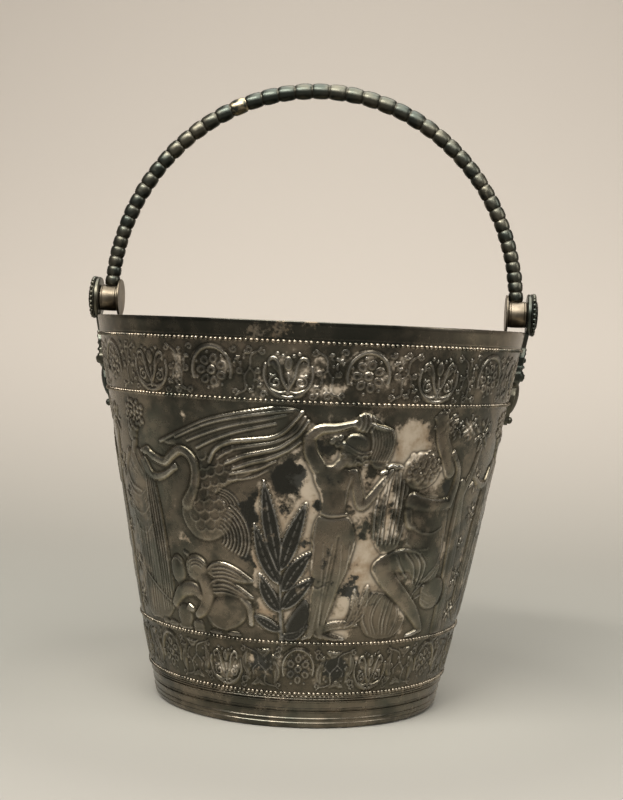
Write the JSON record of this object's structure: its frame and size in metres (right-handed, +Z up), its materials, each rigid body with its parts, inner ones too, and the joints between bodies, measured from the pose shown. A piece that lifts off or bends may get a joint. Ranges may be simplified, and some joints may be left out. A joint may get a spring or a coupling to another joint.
{
  "type": "situla",
  "caption": "Tapering silver bucket with chased bands and a figured frieze, and a beaded arched bail handle that folds down to either side on two axles above the mouth.",
  "frame": {"origin": "centre of the bucket's foot, on the surface it stands on", "axes": "+Z up along the bucket's axis, X along the handle's hinge axis, -Y the front that the picture shows"},
  "size_m": [0.2742, 0.2598, 0.3739],
  "materials": {
    "silver_wall": "dull silver with a dark sulphide patina and pale worn patches",
    "dark_silver": "nearly black patinated cast silver, satin, with bright worn edges",
    "brown_silver": "brown toned turned silver, satin"
  },
  "bodies": {
    "bucket": {"vessel_wall": "silver_wall", "lip_ring": "silver_wall", "floor_disc": "silver_wall", "left_escutcheon": "dark_silver", "left_beaded_washer": "dark_silver", "left_axle_cap": "dark_silver", "left_axle": "brown_silver", "left_upper_rivet": "dark_silver", "left_lower_rivet": "dark_silver", "right_escutcheon": "dark_silver", "right_beaded_washer": "dark_silver", "right_axle_cap": "dark_silver", "right_axle": "brown_silver", "right_upper_rivet": "dark_silver", "right_lower_rivet": "dark_silver"},
    "handle": {"handle_rod": "dark_silver", "left_knuckle": "brown_silver", "right_knuckle": "brown_silver"}
  },
  "joints": [
    {"name": "handle_swing", "type": "hinge", "parent": "bucket", "child": "handle", "pos_m": [0, 0, 0.2388], "axis": [1, 0, 0], "range_deg": [-92, 92]}
  ]
}
